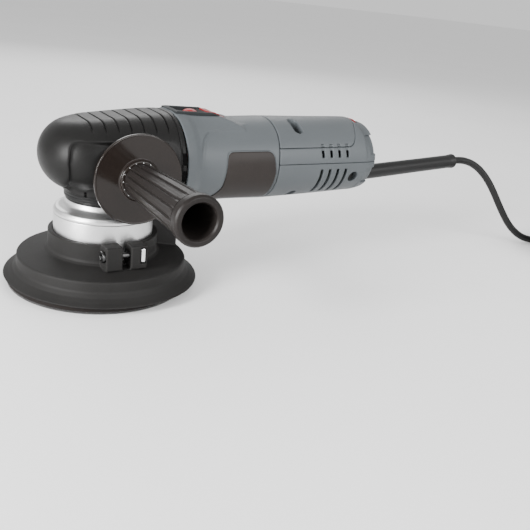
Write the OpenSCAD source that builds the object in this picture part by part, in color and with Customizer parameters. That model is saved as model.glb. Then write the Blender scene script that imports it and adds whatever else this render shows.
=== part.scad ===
// Right-angle dual-action orbital sander with a dust shroud, side handle and mains lead.
// Origin: on the spindle axis, on the plane that the sanding face rests on.
// +X runs back to the tail, -Y to the side handle, +Z up. Millimetres.

/* [Pad and orbit] */
// Diameter of the backing pad
pad_d = 152; // [150:0.5:153]
// Diameter of the circle that the pad centre runs on
orbit_d = 8; // [6:0.5:8]
// Thickness of the hook sheet under the foam
hook_t = 2; // [1.5:0.5:2.5]
// Top of the foam above the floor
foam_top = 11; // [10:0.5:12]

/* [Dust shroud] */
// Outer radius of the flared skirt
skirt_r = 82.3; // [82:0.1:84]
// Height of the skirt's lower edge above the floor
skirt_z = 7.7; // [7.5:0.1:9]
// Outer radius of the step above the skirt
step_r = 71.4; // [70:0.2:73]
// Outer radius of the clamp collar
collar_r = 46; // [45.5:0.1:47]
// Top edge of the clamp collar
collar_top = 46.7; // [45:0.1:48]
// Outer radius of the dust port
port_r = 15; // [14:0.5:15]
// Bore radius of the dust port
port_bore_r = 12.5; // [11:0.5:12.5]

/* [Hub and head] */
// Outer radius of the silver hub
hub_r = 41.8; // [41:0.1:42]
// Height of the joint between the two hub castings
hub_seam_z = 62; // [61:0.5:63]
// Height of the motor axis above the floor
motor_z = 106.5; // [106:0.5:107]
// Wall of the moulded head cover
cover_wall = 3; // [2.5:0.5:3]

/* [Motor body] */
// Front face of the grey motor housing
front_x = 54; // [54:0.5:55]
// Joint between the motor housing and the rear housing
seam_x = 147; // [146:0.5:148]
// Rear end of the body
tail_x = 264; // [263:0.5:265]
// Wall of the moulded housings
wall = 2.8; // [2.4:0.1:3]
// Thickness of the blank side panels
panel_t = 0.6; // [0.4:0.1:1]

/* [Side handle] */
// Distance of the handle axis behind the spindle axis
handle_x = 9; // [8:0.5:10]
// Height of the handle axis
handle_z = 103; // [102:0.5:104]
// Outer face of the guard disc, from the middle plane
guard_y = 53.2; // [52:0.1:54]
// Radius of the guard disc
guard_r = 36.6; // [34:0.2:37]
// Length of the grip outside the guard disc
grip_len = 106.5; // [90:0.1:110]

/* [Controls] */
// Travel of the power slide, off to on
switch_travel = 6; // [4:0.5:6]
// Radius of the speed thumbwheel
dial_r = 10; // [9.8:0.1:10]

/* [Mains lead] */
// Diameter of the mains lead
cord_d = 8; // [8:0.5:8.5]
// Length of the cord sleeve outside the tail
sleeve_len = 146; // [140:1:150]

/* [Hidden] */

fine = 96;
eps = 0.02;
pad_r = pad_d / 2;
ecc = orbit_d / 2;
fit_gap = 0.05;

// Bevel gear pair: apex where the spindle and motor axes cross
gear_teeth = 36;
pinion_teeth = 12;
module_mm = 1.25;
gear_pitch_r = gear_teeth * module_mm / 2;
pinion_pitch_r = pinion_teeth * module_mm / 2;
cone_len = norm([gear_pitch_r, pinion_pitch_r]);
gear_angle = atan2(gear_pitch_r, pinion_pitch_r);
pinion_angle = 90 - gear_angle;
face_scale = 0.7;
addendum = 1.0;
dedendum = 1.3;
tooth_t = 1.45;
flank_deg = 18;

spindle_r = 8;
shaft_r = 5;
pinion_bore_r = 3;
arbor_r = 8;

// Body sections: [x, half width, half height, centre height, squareness]
sec_front = [front_x, 47, 42.6, motor_z, 2];
sec_shoulder = [74, 44.6, 39.8, motor_z, 2];
sec_waist = [108, 42.3, 37.1, motor_z, 2];
sec_seam = [seam_x, 42, 38, motor_z, 2];
sec_step = [248, 40.4, 36.4, motor_z + 1.7, 2];
sec_cap = [250.5, 40.2, 34.4, motor_z - 0.2, 2];
sec_cap_end = [tail_x - 4, 38, 33.6, motor_z + 0.4, 2];
sec_end = [tail_x, 34.5, 31.8, motor_z + 2, 2];
front_sections = [sec_front, sec_shoulder, sec_waist, sec_seam];

// Nose of the head: a ball of this radius in side view, a wider arc from above
nose_r = 29;
nose_x = -26;
nose_z = 112.5;
plan_r = 43.5;
plan_x = nose_x - nose_r + plan_r;
loft_n = 48;

top_cover_z = 122.5;
top_cover_x = 236;
parting_z = 108.5;

slide_half_w = 10.4;

sleeve_z = 86;
sleeve_rise = 4;
sleeve_r = 7.5;
relief_out = [tail_x + sleeve_len * cos(sleeve_rise), 0, sleeve_z + sleeve_len * sin(sleeve_rise)];

dial_x = 250.5;
dial_z = motor_z + 27.3;
dial_w = 8;
dial_gap = 0.6;

screw_x = 174;
screw_y = 20;

bolt_y = -51.5;
bolt_z = 40.5;
ear_out_x = 17.5;
ear_in_x = 3.5;
nut_x0 = 12.4;
nut_x1 = 15.9;
bezel_half_w = 15;
bezel_x1 = 96.8;
bezel_z = 146.6;

// Coil of spare lead, flat on the floor beside the tail
coil_x = 556;
coil_y = -110;
coil_r_out = 54;
coil_layers = 4;
coil_turns = 2.5;
coil_r_in = coil_r_out - coil_turns * cord_d;
coil_h = coil_layers * cord_d;

// Route of the lead from the sleeve to the coil
lead_route = [[409.6, 0, 96.2], [422, 0, 96.6], [434, -1, 95], [446, -3, 90.5], [457, -6, 83],
    [467, -10, 72.5], [476, -14, 60], [484, -18, 47], [492, -22, 34.5], [500, -26, 23.5],
    [509, -30, 14.5], [519, -34.5, 8], [530, -39, 4.8], [542, -44.5, 4], [554, -50, 4],
    [566, -55.5, 4]];

// Route of the last stretch, from the top of the coil to the plug
tail_route = [[578, -60.7, 28], [592, -69, 30], [603, -80, 32.5], [609.5, -93, 35],
    [611.5, -107, 36.3], [609, -119.5, 37], [602, -130, 37.8], [591.5, -137.5, 38.8],
    [579, -140, 39.6], [576, -140, 40]];
plug_x = 576;
plug_y = -140;
plug_z = 40;

// ---------- helpers ----------

// Ring of points of an oval section, set in from its outline
function oval_ring(s, inset) = [for (k = [0 : loft_n - 1])
    let (c = cos(360 * k / loft_n), d = sin(360 * k / loft_n), e = 2 / s[4])
    [s[0], (s[1] - inset) * sign(c) * pow(abs(c), e), s[3] + (s[2] - inset) * sign(d) * pow(abs(d), e)]];

// Closed body through a list of oval sections
module oval_body(sections, inset = 0) {
    last = len(sections) - 1;
    m = loft_n;
    pts = [for (s = sections) for (q = oval_ring(s, inset)) q];
    sides = [for (i = [0 : last - 1]) for (k = [0 : m - 1]) for (half = [0, 1])
        half == 0 ? [i * m + k, (i + 1) * m + k, (i + 1) * m + (k + 1) % m]
        : [i * m + k, (i + 1) * m + (k + 1) % m, i * m + (k + 1) % m]];
    start = [for (k = [0 : m - 1]) k];
    finish = [for (k = [0 : m - 1]) last * m + m - 1 - k];
    polyhedron(points = pts, faces = concat([start], sides, [finish]), convexity = 4);
}

module front_solid(inset = 0) {
    oval_body(front_sections, inset);
}

// Rear body; the end wall is as thick as the sides
module rear_solid(inset = 0) {
    end = sec_end - [inset, 0, 0, 0, 0];
    oval_body([sec_seam, sec_step, sec_cap, sec_cap_end, end], inset);
}

// Cylinder along X, from x0 to x1, on the motor axis
module x_cyl(x0, x1, r) {
    translate([x0, 0, motor_z]) rotate([0, 90, 0]) cylinder(h = x1 - x0, r = r, $fn = fine);
}

module x_ring(x0, x1, r_out, r_in) {
    difference() {
        x_cyl(x0, x1, r_out);
        x_cyl(x0 - 1, x1 + 1, r_in);
    }
}

// Cylinder along Y at x, z, from y0 to y1
module y_cyl(x, z, y0, y1, r) {
    translate([x, y1, z]) rotate([90, 0, 0]) cylinder(h = y1 - y0, r = r, $fn = fine);
}

module z_cyl(x, y, z0, z1, r) {
    translate([x, y, z0]) cylinder(h = z1 - z0, r = r, $fn = fine);
}

module z_ring(x, y, z0, z1, r_out, r_in) {
    difference() {
        z_cyl(x, y, z0, z1, r_out);
        z_cyl(x, y, z0 - 1, z1 + 1, r_in);
    }
}

// Box from corner a to corner b
module box(a, b) {
    translate(a) cube(b - a);
}

// Tooth wedge on a pitch cone whose axis is +Z; all edges run to the apex at the origin
function cone_point(ang, h, w, s) = s * [cone_len * sin(ang) + h * cos(ang), w,
    cone_len * cos(ang) - h * sin(ang)];

module bevel_tooth(ang, root_h) {
    tip_w = tooth_t / 2 - addendum * tan(flank_deg);
    root_w = tooth_t / 2 - root_h * tan(flank_deg);
    pts = [for (s = [face_scale, 1]) for (p = [[root_h, -root_w], [root_h, root_w],
        [addendum, tip_w], [addendum, -tip_w]]) cone_point(ang, p[0], p[1], s)];
    polyhedron(points = pts, faces = [[3, 2, 1, 0], [4, 5, 6, 7], [5, 4, 0, 1],
        [6, 5, 1, 2], [7, 6, 2, 3], [4, 7, 3, 0]]);
}

module bevel_teeth(count, ang, phase) {
    for (i = [0 : count - 1]) rotate([0, 0, (i + phase) * 360 / count])
        bevel_tooth(ang, -dedendum - 0.5);
}

// Root cone corner of a bevel gear, as [radius, distance from the apex along the axis]
function root_corner(ang, s) = [cone_point(ang, -dedendum, 0, s)[0], cone_point(ang, -dedendum, 0, s)[2]];

// ---------- pad ----------

module hook_face() {
    color("#3a3634") z_cyl(-ecc, 0, 0, hook_t, pad_r - 0.4);
}

module pad_foam() {
    color("#4b3b34") translate([-ecc, 0, 0]) rotate_extrude($fn = fine)
        polygon([[0, hook_t], [pad_r - 0.4, hook_t], [pad_r, hook_t + 0.8], [pad_r, 5.6],
            [pad_r - 8, foam_top], [0, foam_top]]);
}

// Stiff plate with ribs and a centre boss
module pad_plate() {
    color("#2b2b2c") {
        translate([-ecc, 0, 0]) rotate_extrude($fn = fine)
            polygon([[4, foam_top], [65, foam_top], [65, foam_top + 2], [18, foam_top + 3.5],
                [15, 20], [4, 20]]);
        for (a = [0 : 45 : 315]) translate([-ecc, 0, 0]) rotate([0, 0, a])
            box([15, -1.2, foam_top + 1], [60, 1.2, foam_top + 5]);
    }
}

module pad_stud() {
    color("silver") z_cyl(-ecc, 0, foam_top, 40, 4);
}

// Short shaft that turns in the eccentric bearing and takes the pad's stud
module pad_arbor() {
    color("#8d9094") difference() {
        union() {
            z_cyl(-ecc, 0, 20, 30, 13);
            z_cyl(-ecc, 0, 30, 47, arbor_r);
        }
        z_cyl(-ecc, 0, 19, 40, 4);
    }
}

// ---------- spindle ----------

module counterweight() {
    color("#6d6f72") difference() {
        union() {
            z_cyl(-ecc, 0, 31, 52, 21);
            z_cyl(0, 0, 50, 61, 15);
            intersection() {
                z_cyl(0, 0, 36, 58, 35.5);
                box([6, -40, 30], [40, 40, 60]);
            }
        }
        z_cyl(-ecc, 0, 30, 48, 16);
        z_cyl(0, 0, 49.5, 62, spindle_r);
        z_cyl(-ecc, 0, 47, 50, 12);
    }
}

module pad_bearing() {
    color("#b9bcc0") z_ring(-ecc, 0, 31, 47.5, 16, arbor_r + fit_gap);
}

module spindle() {
    color("#a4a7aa") union() {
        z_cyl(0, 0, 50, 121, spindle_r);
        z_cyl(0, 0, 121, 128, 6);
    }
}

module bevel_gear() {
    corner = root_corner(gear_angle, 1);
    inner = root_corner(gear_angle, face_scale);
    color("#7c7468") translate([0, 0, motor_z]) rotate([180, 0, 0]) {
        rotate_extrude($fn = fine)
            polygon([[spindle_r, inner[1]], inner, corner, [corner[0], corner[1] + 4],
                [13, corner[1] + 6], [13, corner[1] + 10], [spindle_r, corner[1] + 10]]);
        bevel_teeth(gear_teeth, gear_angle, 0.5);
    }
}

// Retaining nut on top of the spindle
module spindle_nut() {
    color("#8d9094") difference() {
        translate([0, 0, 121]) cylinder(h = 5, r = 9.5, $fn = 6);
        z_cyl(0, 0, 120, 127, 6);
    }
}

module lower_spindle_bearing() {
    color("#b9bcc0") z_ring(0, 0, 68, 82, 20, spindle_r + fit_gap);
}

module upper_spindle_bearing() {
    color("#b9bcc0") z_ring(0, 0, 112, 120, 14, spindle_r + fit_gap);
}

// ---------- hub ----------

module hub_ring() {
    color("#c4c6c8") rotate_extrude($fn = fine)
        polygon([[38.6, 30], [hub_r - 0.8, 30], [hub_r, 30.8], [hub_r, hub_seam_z - 0.4],
            [hub_r - 0.4, hub_seam_z], [38.6, hub_seam_z]]);
}

// Domed upper casting of the hub, bored for the bearing boss
module hub_cap() {
    color("#cfd1d3") rotate_extrude($fn = fine)
        polygon([[24, 66], [24, 74], [31.6, 74], [32.2, 71.6], [33.8, 69.4], [36.4, 67.9],
            [39.4, 67], [41.2, 65.6], [hub_r, 63.4], [hub_r - 0.4, hub_seam_z],
            [38.6, hub_seam_z], [38.6, 63.4], [34, 65]]);
}

// ---------- dust shroud ----------

// Duct and port behind the collar: the outside, or the airway inside
module duct(out) {
    g = out ? 0 : 2.2;
    box([40, -4 + g, 24 - 2 * g], [69 - g, 28 - g, 62 - g]);
    translate([out ? 68 : 60, 12, 46]) rotate([0, 90, 0])
        cylinder(h = out ? 32 : 60, r = out ? port_r : port_bore_r, $fn = fine);
}

module clamp_ears() {
    for (s = [-1, 1])
        box([min(s * ear_out_x, s * ear_in_x), -57, 29], [max(s * ear_out_x, s * ear_in_x), -43, 49]);
}

module dust_shroud() {
    color("#2c2c2e") difference() {
        union() {
            rotate_extrude($fn = fine)
                polygon([[81.2, skirt_z - 0.6], [skirt_r, skirt_z], [step_r + 0.4, 16.2],
                    [step_r, 24.2], [step_r - 1, 24.9], [collar_r + 2, 29.5], [collar_r, 31],
                    [collar_r, collar_top], [42.1, collar_top], [42.1, 27],
                    [step_r - 2.4, 22.6], [step_r - 2.2, 15]]);
            difference() {
                duct(true);
                z_cyl(0, 0, 20, 70, 42.6);
                z_cyl(0, 0, 10, 25.5, 90);
            }
            difference() {
                clamp_ears();
                z_cyl(0, 0, 20, 60, 42.6);
            }
        }
        box([-ear_in_x, -60, 31.5], [ear_in_x, -40, 60]);
        box([nut_x0 - 0.3, -60, bolt_z - 6.4], [nut_x1 + 0.3, bolt_y + 5.3, bolt_z + 6.4]);
        difference() {
            duct(false);
            z_cyl(0, 0, 0, 70, 44.5);
        }
        translate([-30, bolt_y, bolt_z]) rotate([0, 90, 0]) cylinder(h = 46, r = 2.6, $fn = fine);
    }
}

module clamp_bolt() {
    color("silver") translate([-ear_out_x, bolt_y, bolt_z]) rotate([0, 90, 0]) {
        difference() {
            translate([0, 0, -2.5]) cylinder(h = 2.5, r = 4.8, $fn = fine);
            translate([0, 0, -3.5]) cylinder(h = 2.6, r = 2.4, $fn = 6);
        }
        translate([0, 0, -0.5]) cylinder(h = ear_out_x + nut_x1, r = 2.5, $fn = fine);
    }
}

module clamp_nut() {
    color("gainsboro") difference() {
        box([nut_x0, bolt_y - 5.3, bolt_z - 6], [nut_x1, bolt_y + 5, bolt_z + 6]);
        translate([nut_x0 - 1, bolt_y, bolt_z]) rotate([0, 90, 0]) cylinder(h = 9, r = 2.5, $fn = fine);
    }
}

// ---------- gear head ----------

// Section of the round nose at angle a from its tip
function nose_section(a, inset) =
    let (x = nose_x - (nose_r - inset) * cos(a), w = plan_r - inset, d = x - plan_x)
    [x, sqrt(max(w * w - d * d, 1)), (nose_r - inset) * sin(a), nose_z, 2.3];

// Sections behind the nose, from their top and bottom heights
function head_section(x, half_w, bottom, top, square, inset) =
    [x, half_w - inset, (top - bottom) / 2 - inset, (top + bottom) / 2, square];

// Outer form of the elbow: a round nose running back to the motor flange
module head_form(inset = 0) {
    oval_body(concat([for (a = [10 : 13.3 : 90]) nose_section(a, inset)],
        [head_section(-10, 43.4, 82.8, 143.3, 2.25, inset), head_section(12, 44.2, 81.6, 145.6, 2.2, inset),
        head_section(34, 45.2, 79.5, 147.8, 2.1, inset), head_section(46, 46.1, 72, 148.8, 2.05, inset),
        head_section(front_x - eps, 46.7, 64.2, 149, 2, inset)]));
}

module handle_bosses(r) {
    for (s = [-1, 1]) translate([handle_x, 0, handle_z]) rotate([-90 * s, 0, 0])
        translate([0, 0, 32]) cylinder(h = guard_y - 3 - 32, r = r, $fn = fine);
}

// Aluminium casting: gear chamber, bearing seats and the two handle bosses
module gear_housing() {
    color("#9a9da0") difference() {
        union() {
            head_form(cover_wall);
            z_cyl(0, 0, 74, 92, 31);
            z_cyl(0, 0, 66, 76, 24);
            handle_bosses(12);
        }
        z_cyl(0, 0, 83, 112, 27);
        z_cyl(0, 0, 111, 120, 14);
        z_cyl(0, 0, 119, 130, 11);
        z_cyl(0, 0, 65, 69, 12);
        z_cyl(0, 0, 68, 82, 20);
        z_cyl(0, 0, 81, 84, 17);
        x_cyl(0, 34, 12.5);
        x_cyl(33, 38, 10);
        x_cyl(37, 46.5, 14);
        x_cyl(46, 60, 30);
        for (s = [-1, 1]) translate([handle_x, 0, handle_z]) rotate([-90 * s, 0, 0])
            translate([0, 0, 34]) cylinder(h = 30, r = 5, $fn = fine);
    }
}

// Moulded cover over the casting, open at the rear and round the neck
module head_cover() {
    color("#38373a") difference() {
        union() {
            head_form(0);
            z_cyl(0, 0, 82, 92, 34.2);
        }
        head_form(cover_wall);
        z_cyl(0, 0, 70, 82, 34.4);
        z_cyl(0, 0, 74, 95, 31);
        handle_bosses(12);
        for (s = [-1, 1]) for (h = [-18, -4, 10]) translate([front_x - 4, s * 44, motor_z + h])
            cube([5, 14, 9], center = true);
    }
}

module neck_ring() {
    color("#2e2e30") difference() {
        translate([0, 0, 74]) cylinder(h = 8, r1 = 31.8, r2 = 34, $fn = fine);
        z_cyl(0, 0, 73, 83, 31);
    }
}

// ---------- side handle ----------

module handle_guard() {
    color("#2a2725") difference() {
        union() {
            y_cyl(handle_x, handle_z, -guard_y, -guard_y + 3, guard_r);
            y_cyl(handle_x, handle_z, -guard_y - 3, -guard_y, 16.2);
        }
        y_cyl(handle_x, handle_z, -guard_y - 4, -guard_y + 4, 5.2);
    }
}

// Fluted grip, hollow from its outer end
module handle_grip() {
    y_end = -guard_y - grip_len;
    y_base = -guard_y - 3;
    color("#2f2c2a") difference() {
        union() {
            translate([handle_x, y_base, handle_z]) rotate([90, 0, 0])
                cylinder(h = grip_len - 9, r1 = 14, r2 = 17.2, $fn = fine);
            y_cyl(handle_x, handle_z, y_end, y_end + 8, 18.8);
        }
        for (a = [12 : 24 : 348]) translate([handle_x, 0, handle_z]) rotate([0, a, 0])
            box([-1.2, y_end + 14, 14.4], [1.2, y_base - 8, 20]);
        y_cyl(handle_x, handle_z, y_end - 1, y_end + 60, 12.6);
        y_cyl(handle_x, handle_z, -90, -50, 5);
    }
}

module handle_stud() {
    color("silver") y_cyl(handle_x, handle_z, -84, -36, 5);
}

// ---------- motor housing ----------

// Raised pad for the power slide, in the middle plane
module platform_profile() {
    polygon([[front_x, 138], [front_x, 149.6], [58, 150.2], [90, 149], [99, 146], [108, 142.4],
        [114, 139.6]]);
}

module platform(half_width) {
    translate([0, half_width, 0]) rotate([90, 0, 0]) linear_extrude(2 * half_width)
        platform_profile();
}

// Outline of a side panel, seen from the side
module panel_prism() {
    for (y = [-30, 70]) translate([0, y, 0]) rotate([90, 0, 0]) linear_extrude(40)
        polygon([[95.5, 121.5], [93.2, 112], [92, 104], [92.2, 96], [91, 88], [86.5, 80],
            [80, 72], [140, 72], [144.5, 78], [144, 100], [142.4, 116], [140, 121.5]]);
}

module motor_housing() {
    color("#7b8082") difference() {
        union() {
            difference() {
                front_solid();
                difference() {
                    front_solid(wall);
                    for (a = [45 : 90 : 315]) translate([80, 0, motor_z]) rotate([a, 0, 0])
                        box([0, -3, 32], [48, 3, 45]);
                }
            }
            difference() {
                union() {
                    platform(bezel_half_w);
                    translate([front_x, 0, 0]) rotate([90, 0, 90]) linear_extrude(bezel_x1 - front_x)
                        polygon([[-23, 136], [-bezel_half_w, bezel_z], [bezel_half_w, bezel_z], [23, 136]]);
                }
                translate([front_x, 0, 0]) box([2, -20, 120], [70, 20, 138.6]);
            }
        }
        box([57.5, -slide_half_w - 0.4, 141], [104.6, slide_half_w + 0.4, 160]);
        box([front_x - 1, -bezel_half_w - 1, bezel_z], [bezel_x1, bezel_half_w + 1, 160]);
        box([70, -4.5, 130], [92, 4.5, 142]);
        box([front_x - 1, -6, 136], [120, 6, 140.2]);
    }
}

// Blank side panels on both sides of the motor housing
module label_panels() {
    color("#4b4642") intersection() {
        difference() {
            front_solid(-panel_t);
            front_solid(0);
        }
        panel_prism();
    }
}

// ---------- rear housing ----------

module rear_shell() {
    difference() {
        rear_solid();
        rear_solid(wall);
        translate([seam_x - 1, 0, motor_z]) rotate([0, 90, 0]) cylinder(h = 6, r = 34, $fn = fine);
    }
}

module top_cover_zone() {
    box([seam_x - 1, -60, top_cover_z], [top_cover_x, 60, 170]);
}

module rear_lower_housing() {
    color("#7b8082") difference() {
        union() {
            intersection() {
                rear_shell();
                box([seam_x - 1, -60, 40], [tail_x + 1, 60, parting_z]);
            }
            intersection() {
                rear_solid(0.5);
                union() {
                    for (s = [-1, 1]) z_cyl(screw_x, s * screw_y, 70, parting_z, 5.4);
                    box([tail_x - 12, -14, 60], [tail_x - 1, 14, sleeve_z + 14]);
                }
            }
        }
        for (s = [-1, 1]) {
            z_cyl(screw_x, s * screw_y, 60, 84, 3.9);
            z_cyl(screw_x, s * screw_y, 60, 110, 2);
            y_cyl(235.4, 94, min(s * 60, s * 30), max(s * 60, s * 30), 4.8);
            for (i = [0 : 3]) translate([196 + 9.6 * i, s * 34, 91]) rotate([s * -14, 4, 0])
                cube([3, 26, 24], center = true);
            translate([253.5, s * 36, 95]) cube([5.5, 9, 15], center = true);
        }
        translate([tail_x - 20, 0, sleeve_z]) rotate([0, 90, 0]) cylinder(h = 30, r = 8.2, $fn = fine);
        translate([tail_x - 9.5, 0, sleeve_z]) rotate([0, 90, 0]) cylinder(h = 5, r = 11.2, $fn = fine);
        translate([tail_x - 14, 0, sleeve_z]) rotate([0, 90, 0]) cylinder(h = 5, r = 9, $fn = fine);
    }
}

module rear_upper_housing() {
    color("#7b8082") difference() {
        union() {
            intersection() {
                rear_shell();
                difference() {
                    box([seam_x - 1, -60, parting_z], [tail_x + 1, 60, 170]);
                    top_cover_zone();
                }
            }
            intersection() {
                rear_solid(0.5);
                for (s = [-1, 1]) {
                    z_cyl(screw_x, s * screw_y, parting_z, 120, 5.4);
                    box([screw_x - 1.5, min(s * 22, s * 45), parting_z],
                        [screw_x + 1.5, max(s * 22, s * 45), 118]);
                }
            }
        }
        for (s = [-1, 1]) {
            z_cyl(screw_x, s * screw_y, 100, 130, 2);
            for (i = [0 : 3]) translate([196 + 9.6 * i, s * 36, 117]) cube([3, 20, 7], center = true);
            translate([257, s * 31.5, 125]) rotate([s * -40, 0, 0]) cube([7.5, 9, 18], center = true);
        }
        box([dial_x - 9.6, -dial_w / 2 - dial_gap, 120], [dial_x + 9.6, dial_w / 2 + dial_gap, 150]);
        box([dial_x - 11, -dial_w / 2 - dial_gap, 118], [dial_x + 11, dial_w / 2 + dial_gap, 137.5]);
    }
}

module top_cover() {
    color("#7b8082") difference() {
        union() {
            intersection() {
                rear_shell();
                top_cover_zone();
            }
            intersection() {
                rear_solid(0.5);
                for (s = [-1, 1]) z_cyl(screw_x, s * screw_y, 120, 141, 5.9);
            }
        }
        for (s = [-1, 1]) {
            z_cyl(screw_x, s * screw_y, 124, 160, 4.6);
            z_cyl(screw_x, s * screw_y, 115, 160, 2);
        }
    }
}

// Six screws that hold the rear shells and the cord clamp
module housing_screws() {
    color("#55585c") for (s = [-1, 1]) {
        z_cyl(screw_x, s * screw_y, 112, 124, 2);
        z_cyl(screw_x, s * screw_y, 124, 127, 3.6);
        z_cyl(screw_x, s * screw_y, 84, 106, 2);
        z_cyl(screw_x, s * screw_y, 81, 84, 3.6);
        y_cyl(235.4, 94, min(s * 29, s * 33), max(s * 29, s * 33), 3.6);
        y_cyl(235.4, 94, min(s * 18, s * 29), max(s * 18, s * 29), 2);
    }
}

// ---------- power slide ----------

module switch_bezel() {
    color("#1f1f21") difference() {
        intersection() {
            translate([0, 0, 0.4]) platform(bezel_half_w);
            box([front_x, -bezel_half_w, bezel_z], [bezel_x1, bezel_half_w, 160]);
        }
        box([59, -slide_half_w - 0.4, 140], [100, slide_half_w + 0.4, 160]);
    }
}

// Red slide with its front button and rear ramp, and the rod to the switch
module switch_slider() {
    color("#c3202e") {
        translate([0, slide_half_w, 0]) rotate([90, 0, 0]) linear_extrude(2 * slide_half_w)
            polygon([[66, 141.4], [104, 141.4], [104.2, 143.2], [99, 146.8], [93, 149.2], [88, 149.8],
                [88, 145.4], [81, 145.4], [80, 148.8], [76, 150], [71, 150], [67.6, 148.6],
                [66, 146]]);
        box([78, -4, 137.2], [84, 4, 142]);
        box([80, -3.8, 137.2], [200, 3.8, 139.2]);
    }
}

// Ridged thumb rest between the two red ends
module switch_grip() {
    color("#1f1f21") {
        box([81.4, -slide_half_w, 145.4], [87.9, slide_half_w, 147.6]);
        for (i = [0 : 2]) box([82 + 2 * i, -slide_half_w, 147], [83 + 2 * i, slide_half_w, 149]);
    }
}

module switch_body() {
    color("#2b2b2c") difference() {
        box([190, -9, 121], [214, 9, 139.6]);
        box([189, -4.4, 136.6], [202, 4.4, 140]);
    }
}

// ---------- motor ----------

module armature_shaft() {
    color("#a4a7aa") {
        x_cyl(16, 31.5, pinion_bore_r);
        x_cyl(31, 188, shaft_r);
    }
}

module armature_core() {
    color("#6d6f72") difference() {
        x_cyl(80, 128, 20.8);
        x_cyl(79, 129, shaft_r);
        for (a = [0 : 30 : 330]) translate([79, 0, motor_z]) rotate([a, 0, 0])
            box([0, -1.1, 15], [50, 1.1, 22]);
    }
}

module armature_windings() {
    color("#b06a3a") {
        x_ring(73, 80, 18.5, shaft_r);
        x_ring(128, 138, 18.5, shaft_r);
    }
}

module commutator() {
    color("#b8733f") difference() {
        x_ring(142, 161, 12, shaft_r);
        for (a = [0 : 30 : 330]) translate([141, 0, motor_z]) rotate([a, 0, 0])
            box([0, -0.3, 11.2], [21, 0.3, 13]);
    }
}

module cooling_fan() {
    color("#34363a") {
        x_ring(57, 69, 10, shaft_r);
        x_ring(57, 59, 30.5, 9);
        for (a = [0 : 30 : 330]) translate([58, 0, motor_z]) rotate([a, 0, 0])
            box([0, -0.9, 9], [9, 0.9, 30]);
    }
}

module bevel_pinion() {
    corner = root_corner(pinion_angle, 1);
    inner = root_corner(pinion_angle, face_scale);
    color("#7c7468") translate([0, 0, motor_z]) rotate([0, 90, 0]) {
        rotate_extrude($fn = fine)
            polygon([[pinion_bore_r, inner[1]], inner, corner, [8.4, corner[1] + 1.2], [8.4, 31],
                [pinion_bore_r, 31]]);
        bevel_teeth(pinion_teeth, pinion_angle, 0);
    }
}

module front_motor_bearing() {
    color("#b9bcc0") x_ring(37.5, 46.5, 14, shaft_r + fit_gap);
}

module rear_motor_bearing() {
    color("#b9bcc0") x_ring(180, 187, 11, shaft_r + fit_gap);
}

// Moulded bridge that carries the rear motor bearing
module bearing_bridge() {
    color("#3c3e42") difference() {
        union() {
            x_cyl(180, 184, 29.5);
            x_cyl(178, 188, 14);
        }
        x_cyl(180, 190, 11);
        x_cyl(177, 181, 7);
        for (a = [30 : 60 : 330]) translate([182, 0, motor_z]) rotate([a, 0, 0])
            translate([-4, 0, 21]) rotate([0, 90, 0]) cylinder(h = 8, r = 4.5, $fn = fine);
    }
}

module field_stator() {
    color("#5b5d61") difference() {
        x_cyl(80, 128, 32);
        x_cyl(79, 129, 21.8);
        for (s = [-1, 1]) box([79, -20, motor_z + (s > 0 ? 29.6 : -40)],
            [129, 20, motor_z + (s > 0 ? 40 : -29.6)]);
    }
}

module field_windings() {
    color("#b06a3a") {
        x_ring(73, 80, 29, 22.5);
        x_ring(128, 137, 29, 22.5);
    }
}

module brush_holders() {
    color("#b79a52") for (s = [-1, 1]) difference() {
        box([146.5, s > 0 ? 14 : -34, motor_z - 6], [156.5, s > 0 ? 34 : -14, motor_z + 6]);
        box([148.3, -40, motor_z - 4.2], [154.7, 40, motor_z + 4.2]);
    }
}

module carbon_brushes() {
    color("#26272a") for (s = [-1, 1])
        box([148.4, s > 0 ? 12.4 : -28, motor_z - 4.1], [154.6, s > 0 ? 28 : -12.4, motor_z + 4.1]);
}

// ---------- speed control ----------

module speed_module() {
    color("#2f4238") box([198, -20, 86], [232, 20, 102]);
}

module speed_dial() {
    color("#c3202e") difference() {
        y_cyl(dial_x, dial_z, -dial_w / 2, dial_w / 2, dial_r);
        for (a = [0 : 20 : 340]) translate([dial_x, 0, dial_z]) rotate([0, a, 0])
            translate([0, -dial_w, dial_r + 0.5]) rotate([-90, 0, 0])
            cylinder(h = 2 * dial_w, r = 0.9, $fn = 16);
        y_cyl(dial_x, dial_z, -dial_w, dial_w, 2 + fit_gap);
    }
}

module dial_pin() {
    color("silver") y_cyl(dial_x, dial_z, -8, 5.4, 2);
}

module speed_potentiometer() {
    color("#2b2b2c") box([dial_x - 6.5, 5.4, dial_z - 8], [dial_x + 5.5, 12, dial_z + 2]);
}

// ---------- mains lead ----------

// Long flexible sleeve with a flange held in the tail
module strain_relief() {
    color("#1c1c1d") {
        translate([tail_x - 9.5, 0, sleeve_z]) rotate([0, 90, 0]) cylinder(h = 5, r = 11, $fn = fine);
        translate([tail_x - 6, 0, sleeve_z]) rotate([0, 90, 0]) cylinder(h = 6.4, r = 8, $fn = fine);
        translate([tail_x, 0, sleeve_z]) rotate([0, 90 - sleeve_rise, 0]) {
            cylinder(h = sleeve_len - 6, r1 = 8, r2 = sleeve_r - 0.2, $fn = fine);
            translate([0, 0, sleeve_len - 6]) cylinder(h = 6, r1 = sleeve_r - 0.2, r2 = 8, $fn = fine);
        }
    }
}

function unit(v) = v / norm(v);

// Direction of a route at point i
function heading(route, i) = unit(route[min(i + 1, len(route) - 1)] - route[max(i - 1, 0)]);

// Point k of the ring of n points round route point i
function ring_point(route, i, k, n, r) =
    let (t = heading(route, i), side = unit(cross(t, [0, 0, 1])), up = cross(side, t))
    route[i] + r * (cos(360 * k / n) * side + sin(360 * k / n) * up);

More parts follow.
